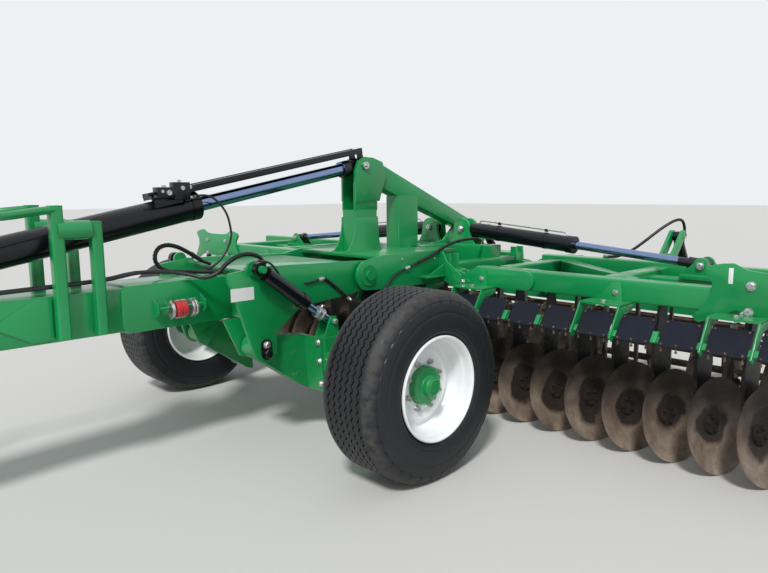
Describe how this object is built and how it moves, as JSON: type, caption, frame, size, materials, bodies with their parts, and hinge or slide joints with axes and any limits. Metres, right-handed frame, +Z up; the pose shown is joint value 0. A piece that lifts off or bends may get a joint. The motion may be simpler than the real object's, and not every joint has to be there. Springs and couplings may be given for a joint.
{
  "type": "trailed folding disc harrow",
  "caption": "Trailed disc harrow with two folding wings, two rows of dished discs, rear rollers, rams, two transport wheels and a drawbar.",
  "frame": {"origin": "middle of the bounding box at the ground", "axes": "+Z up, +Y to the rear along the way of travel, +X to the machine's left"},
  "size_m": [6.8182, 7.995, 1.9608],
  "materials": {
    "frame_paint": "gloss green paint",
    "black_paint": "gloss black paint",
    "ram_black": "gloss black paint",
    "chrome_rod": "polished chrome",
    "disc_steel": "soil-worn steel",
    "rim_white": "gloss white paint",
    "tyre_rubber": "dusty black rubber",
    "zinc": "zinc plated steel"
  },
  "bodies": {
    "chassis": {"drawbar": "frame_paint", "hitch": "frame_paint", "jack_sleeve": "frame_paint", "chassis": "frame_paint", "side_pins": "frame_paint", "wing_stands": "frame_paint"},
    "jack_leg": {"jack_leg": "zinc"},
    "axle": {"axle": "frame_paint"},
    "wheel_left": {"tyre_left": "tyre_rubber", "rim_left": "rim_white", "hub_left": "frame_paint"},
    "wheel_right": {"tyre_right": "tyre_rubber", "rim_right": "rim_white", "hub_right": "frame_paint"},
    "lift_barrels": {"lift_barrels": "ram_black"},
    "lift_rods": {"lift_rods": "chrome_rod"},
    "centre": {"tower": "frame_paint", "centre_frame": "frame_paint", "centre_shields": "black_paint", "centre_legs": "black_paint", "centre_discs": "disc_steel"},
    "main_barrel": {"main_barrel": "ram_black"},
    "main_rod": {"main_rod": "chrome_rod", "lock_bar": "black_paint"},
    "wing_left": {"wing_frame_left": "frame_paint", "wing_plate_left": "frame_paint", "shields_left": "black_paint", "legs_left": "black_paint", "discs_left": "disc_steel"},
    "wing_barrel_left": {"wing_barrel_left": "ram_black"},
    "wing_rod_left": {"wing_rod_left": "chrome_rod"},
    "wing_right": {"wing_frame_right": "frame_paint", "wing_plate_right": "frame_paint", "shields_right": "black_paint", "legs_right": "black_paint", "discs_right": "disc_steel"},
    "wing_barrel_right": {"wing_barrel_right": "ram_black"},
    "wing_rod_right": {"wing_rod_right": "chrome_rod"},
    "roller_arms_centre": {"roller_arms_centre": "frame_paint"},
    "roller_centre": {"roller_centre": "disc_steel"},
    "roller_barrel_centre": {"roller_barrel_centre": "ram_black"},
    "roller_rod_centre": {"roller_rod_centre": "chrome_rod"},
    "roller_arms_left": {"roller_arms_left": "frame_paint"},
    "roller_left": {"roller_left": "disc_steel"},
    "roller_barrel_left": {"roller_barrel_left": "ram_black"},
    "roller_rod_left": {"roller_rod_left": "chrome_rod"},
    "roller_arms_right": {"roller_arms_right": "frame_paint"},
    "roller_right": {"roller_right": "disc_steel"},
    "roller_barrel_right": {"roller_barrel_right": "ram_black"},
    "roller_rod_right": {"roller_rod_right": "chrome_rod"}
  },
  "joints": [
    {"name": "jack_slide", "type": "slide", "parent": "chassis", "child": "jack_leg", "axis": [0, 0, 1], "range_m": [0, 0.3]},
    {"name": "axle_lift", "type": "hinge", "parent": "chassis", "child": "axle", "pos_m": [0, 0.2075, 0.67], "axis": [1, 0, 0], "range_deg": [-45, 12]},
    {"name": "wheel_left_spin", "type": "hinge", "parent": "axle", "child": "wheel_left", "pos_m": [1.3, 0.6275, 0.545], "axis": [1, 0, 0], "continuous": true},
    {"name": "wheel_right_spin", "type": "hinge", "parent": "axle", "child": "wheel_right", "pos_m": [-1.3, 0.6275, 0.545], "axis": [1, 0, 0], "continuous": true},
    {"name": "lift_barrel_swing", "type": "hinge", "parent": "chassis", "child": "lift_barrels", "pos_m": [0, 0.1275, 1.18], "axis": [1, 0, 0], "range_deg": [-20.53, 5.51]},
    {"name": "lift_rod_slide", "type": "slide", "parent": "lift_barrels", "child": "lift_rods", "axis": [0, 0.8095, -0.5871], "range_m": [-0.06218, 0.2318]},
    {"name": "rear_tilt", "type": "hinge", "parent": "chassis", "child": "centre", "pos_m": [0, 1.0475, 1.055], "axis": [1, 0, 0], "range_deg": [0, 90]},
    {"name": "main_barrel_swing", "type": "hinge", "parent": "chassis", "child": "main_barrel", "pos_m": [0, -2.1725, 1.114], "axis": [1, 0, 0], "range_deg": [-4.6, 0]},
    {"name": "main_rod_slide", "type": "slide", "parent": "main_barrel", "child": "main_rod", "axis": [0, 0.9805, 0.1966], "range_m": [-1.17938, 0]},
    {"name": "wing_left_fold", "type": "hinge", "parent": "centre", "child": "wing_left", "pos_m": [0.7, 1.9125, 0.954], "axis": [0, -1, 0], "range_deg": [0, 90]},
    {"name": "wing_barrel_left_swing", "type": "hinge", "parent": "centre", "child": "wing_barrel_left", "pos_m": [0.185, 2.5075, 1.31], "axis": [0, -1, 0], "range_deg": [0, 78.54]},
    {"name": "wing_rod_left_slide", "type": "slide", "parent": "wing_barrel_left", "child": "wing_rod_left", "axis": [0.996, 0, -0.0894], "range_m": [-0.83004, 0]},
    {"name": "wing_right_fold", "type": "hinge", "parent": "centre", "child": "wing_right", "pos_m": [-0.7, 1.9125, 0.954], "axis": [0, 1, 0], "range_deg": [0, 90]},
    {"name": "wing_barrel_right_swing", "type": "hinge", "parent": "centre", "child": "wing_barrel_right", "pos_m": [-0.185, 2.5075, 1.31], "axis": [0, 1, 0], "range_deg": [0, 78.54]},
    {"name": "wing_rod_right_slide", "type": "slide", "parent": "wing_barrel_right", "child": "wing_rod_right", "axis": [-0.996, 0, -0.0894], "range_m": [-0.83004, 0]},
    {"name": "roller_centre_lift", "type": "hinge", "parent": "centre", "child": "roller_arms_centre", "pos_m": [0, 2.9675, 1.05], "axis": [1, 0, 0], "range_deg": [-12, 20]},
    {"name": "roller_centre_spin", "type": "hinge", "parent": "roller_arms_centre", "child": "roller_centre", "pos_m": [0, 3.7275, 0.274], "axis": [1, 0, 0], "continuous": true},
    {"name": "roller_barrel_centre_swing", "type": "hinge", "parent": "centre", "child": "roller_barrel_centre", "pos_m": [0, 3.0275, 1.28], "axis": [1, 0, 0], "range_deg": [-9.89, 16.46]},
    {"name": "roller_rod_centre_slide", "type": "slide", "parent": "roller_barrel_centre", "child": "roller_rod_centre", "axis": [0, 0.6, -0.8], "range_m": [-0.07181, 0.04329]},
    {"name": "roller_left_lift", "type": "hinge", "parent": "wing_left", "child": "roller_arms_left", "pos_m": [1.8, 2.9675, 1.05], "axis": [1, 0, 0], "range_deg": [-12, 20]},
    {"name": "roller_left_spin", "type": "hinge", "parent": "roller_arms_left", "child": "roller_left", "pos_m": [1.8, 3.7275, 0.274], "axis": [1, 0, 0], "continuous": true},
    {"name": "roller_barrel_left_swing", "type": "hinge", "parent": "wing_left", "child": "roller_barrel_left", "pos_m": [1.8, 3.0275, 1.28], "axis": [1, 0, 0], "range_deg": [-9.89, 16.46]},
    {"name": "roller_rod_left_slide", "type": "slide", "parent": "roller_barrel_left", "child": "roller_rod_left", "axis": [0, 0.6, -0.8], "range_m": [-0.07181, 0.04329]},
    {"name": "roller_right_lift", "type": "hinge", "parent": "wing_right", "child": "roller_arms_right", "pos_m": [-1.8, 2.9675, 1.05], "axis": [1, 0, 0], "range_deg": [-12, 20]},
    {"name": "roller_right_spin", "type": "hinge", "parent": "roller_arms_right", "child": "roller_right", "pos_m": [-1.8, 3.7275, 0.274], "axis": [1, 0, 0], "continuous": true},
    {"name": "roller_barrel_right_swing", "type": "hinge", "parent": "wing_right", "child": "roller_barrel_right", "pos_m": [-1.8, 3.0275, 1.28], "axis": [1, 0, 0], "range_deg": [-9.89, 16.46]},
    {"name": "roller_rod_right_slide", "type": "slide", "parent": "roller_barrel_right", "child": "roller_rod_right", "axis": [0, 0.6, -0.8], "range_m": [-0.07181, 0.04329]}
  ],
  "couplings": [
    {"joint": "lift_barrel_swing", "follows": "axle_lift", "ratio": 0.455},
    {"joint": "lift_rod_slide", "follows": "axle_lift", "m_per_rad": -0.2945},
    {"joint": "main_barrel_swing", "follows": "rear_tilt", "ratio": -0.0506},
    {"joint": "main_rod_slide", "follows": "rear_tilt", "m_per_rad": -0.7505},
    {"joint": "wing_barrel_left_swing", "follows": "wing_left_fold", "ratio": 0.8721},
    {"joint": "wing_rod_left_slide", "follows": "wing_left_fold", "m_per_rad": -0.5281},
    {"joint": "wing_barrel_right_swing", "follows": "wing_right_fold", "ratio": 0.8721},
    {"joint": "wing_rod_right_slide", "follows": "wing_right_fold", "m_per_rad": -0.5281},
    {"joint": "roller_barrel_centre_swing", "follows": "roller_centre_lift", "ratio": 0.8203},
    {"joint": "roller_rod_centre_slide", "follows": "roller_centre_lift", "m_per_rad": -0.2043},
    {"joint": "roller_barrel_left_swing", "follows": "roller_left_lift", "ratio": 0.8203},
    {"joint": "roller_rod_left_slide", "follows": "roller_left_lift", "m_per_rad": -0.2043},
    {"joint": "roller_barrel_right_swing", "follows": "roller_right_lift", "ratio": 0.8203},
    {"joint": "roller_rod_right_slide", "follows": "roller_right_lift", "m_per_rad": -0.2043}
  ]
}
